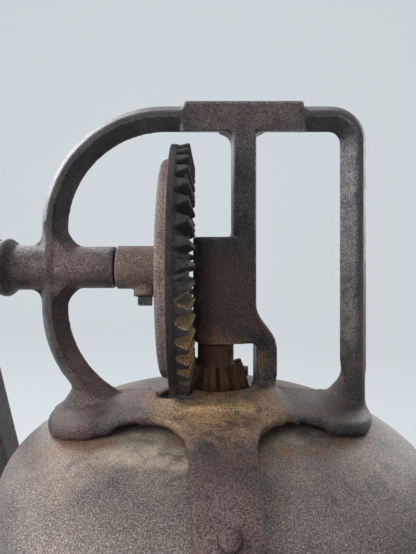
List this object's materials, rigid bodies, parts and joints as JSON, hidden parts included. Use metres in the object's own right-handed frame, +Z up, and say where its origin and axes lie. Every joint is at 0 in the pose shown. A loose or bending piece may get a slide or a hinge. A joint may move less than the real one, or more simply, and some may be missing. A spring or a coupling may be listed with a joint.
{
  "type": "butter churn",
  "caption": "Hand-cranked butter churn: a geared iron head on a domed screw lid turns a wooden dasher inside a square glass jar.",
  "frame": {"origin": "middle of the jar's foot, on the table", "axes": "+Z up; -Y to the front as in the picture; -X to the crank"},
  "size_m": [0.2056, 0.148, 0.3464],
  "materials": {
    "glass": "clear pressed glass",
    "tinned_steel": "dull grey tinned sheet with rust",
    "brass_mesh": "tarnished wire mesh",
    "cast_iron": "worn dark sand-cast iron with rust",
    "steel": "dull steel",
    "stained_wood": "turned stained wood, worn",
    "bare_wood": "bare hardwood"
  },
  "bodies": {
    "jar": {"glass_jar": "glass"},
    "head": {"lid": "tinned_steel", "strainer_screen": "brass_mesh", "screen_ring": "tinned_steel", "gear_frame": "cast_iron", "frame_rivets": "steel"},
    "crank": {"crank_shaft": "steel", "crank_arm": "cast_iron", "crank_pin": "steel", "knob_spindle": "steel", "knob_washer": "steel", "drive_gear": "cast_iron", "gear_screw": "steel"},
    "knob": {"crank_knob": "stained_wood"},
    "dasher": {"dasher_shaft": "steel", "dasher_hub": "bare_wood", "dasher_blade_1": "bare_wood", "dasher_blade_2": "bare_wood", "dasher_blade_3": "bare_wood", "dasher_blade_4": "bare_wood", "dasher_pin": "steel", "pinion": "cast_iron", "pinion_pin": "steel"}
  },
  "joints": [
    {"name": "lid_lift", "type": "slide", "parent": "jar", "child": "head", "axis": [0, 0, 1], "range_m": [0, 0.26]},
    {"name": "crank_turn", "type": "hinge", "parent": "head", "child": "crank", "pos_m": [0, 0, 0.29531], "axis": [1, 0, 0], "continuous": true},
    {"name": "dasher_turn", "type": "hinge", "parent": "head", "child": "dasher", "pos_m": [0, 0, 0.29531], "axis": [0, 0, 1], "continuous": true},
    {"name": "knob_spin", "type": "hinge", "parent": "crank", "child": "knob", "pos_m": [-0.1096, 0.04142, 0.20649], "axis": [1, 0, 0], "continuous": true}
  ],
  "couplings": [
    {"joint": "dasher_turn", "follows": "crank_turn", "ratio": -4}
  ]
}
